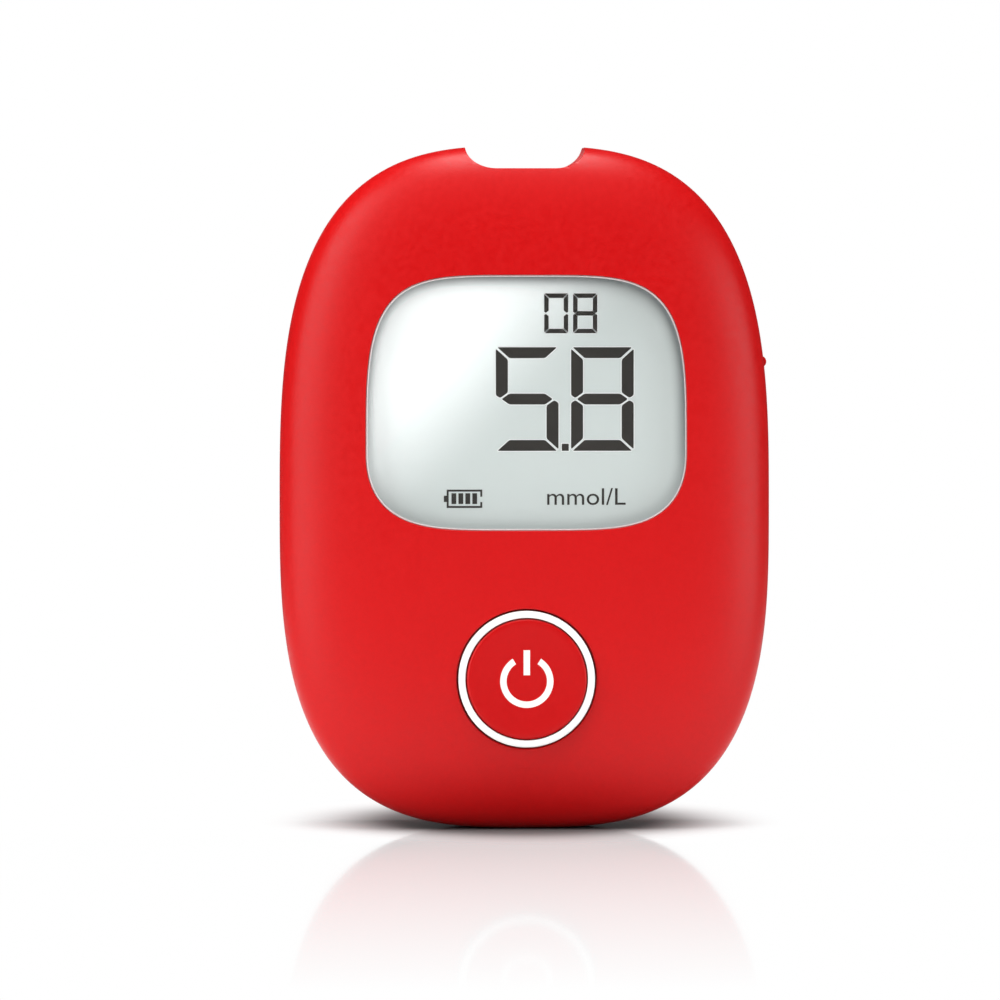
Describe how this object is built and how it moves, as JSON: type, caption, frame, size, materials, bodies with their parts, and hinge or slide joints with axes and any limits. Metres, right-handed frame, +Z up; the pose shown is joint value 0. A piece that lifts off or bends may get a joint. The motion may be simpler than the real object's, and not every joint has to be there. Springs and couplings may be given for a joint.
{
  "type": "blood glucose meter",
  "caption": "Hand-held blood glucose meter with a rounded red housing, strip notch in the crown, display window, round key, side strip ejector and hinged battery door.",
  "frame": {"origin": "centre of the foot on which the meter stands, at the bottom of its bounding box", "axes": "+X to the right as the display is read, +Y to the back, +Z up along the meter's length; the display faces -Y"},
  "size_m": [0.061, 0.023, 0.0847],
  "materials": {
    "red_plastic": "soft matte, fine grain",
    "white_plastic": "satin",
    "black_plastic": "matte",
    "grey_plastic": "matte",
    "clear_lens": "clear, polished",
    "display_glass": "pale grey, semi-gloss",
    "adhesive": "translucent tape",
    "foam": "foam",
    "pink_rubber": "layered elastomer",
    "steel": "nickel plated",
    "gold_contact": "gold plated",
    "battery_sleeve": "plain sleeve, satin",
    "green_board": "solder mask, satin",
    "capacitor_body": "matte"
  },
  "bodies": {
    "housing": {"front_shell": "red_plastic", "rear_shell": "red_plastic", "display_lens": "clear_lens", "lens_adhesive": "adhesive", "lcd_gasket": "foam", "lcd_panel": "display_glass", "lcd_tray": "white_plastic", "lcd_reflector": "white_plastic", "zebra_strip": "pink_rubber", "switch_body": "black_plastic", "strip_port": "grey_plastic", "strip_contact_1": "gold_contact", "strip_contact_2": "gold_contact", "strip_contact_3": "gold_contact", "strip_contact_4": "gold_contact", "strip_contact_5": "gold_contact", "eject_spring": "steel", "battery_1": "battery_sleeve", "battery_2": "battery_sleeve", "battery_bridge": "steel", "battery_plus_plate": "steel", "battery_minus_spring": "steel", "main_board": "green_board", "processor_chip": "black_plastic", "memory_chip": "black_plastic", "amplifier_chip": "black_plastic", "crystal": "steel", "capacitor": "capacitor_body", "buzzer": "black_plastic", "case_screw_1": "steel", "case_screw_2": "steel", "case_screw_3": "steel", "case_screw_4": "steel", "board_screw_1": "steel", "board_screw_2": "steel", "board_screw_3": "steel", "board_screw_4": "steel"},
    "key": {"key_cap": "red_plastic", "key_ring": "white_plastic"},
    "plunger": {"switch_plunger": "white_plastic"},
    "ejector": {"eject_slider": "red_plastic"},
    "door": {"battery_door": "red_plastic"}
  },
  "joints": [
    {"name": "key_press", "type": "slide", "parent": "housing", "child": "key", "axis": [0, 1, 0], "range_m": [0, 0.0006], "stiffness_N_per_m": 1200},
    {"name": "switch_press", "type": "slide", "parent": "housing", "child": "plunger", "axis": [0, 1, 0], "range_m": [0, 0.0006]},
    {"name": "strip_eject", "type": "slide", "parent": "housing", "child": "ejector", "axis": [0, 0, 1], "range_m": [0, 0.004], "stiffness_N_per_m": 150, "deforming": ["eject_spring"]},
    {"name": "door_open", "type": "hinge", "parent": "housing", "child": "door", "pos_m": [0, 0.0115, 0.0135], "axis": [-1, 0, 0], "range_deg": [0, 70]}
  ],
  "couplings": [
    {"joint": "switch_press", "follows": "key_press", "ratio": 1}
  ]
}
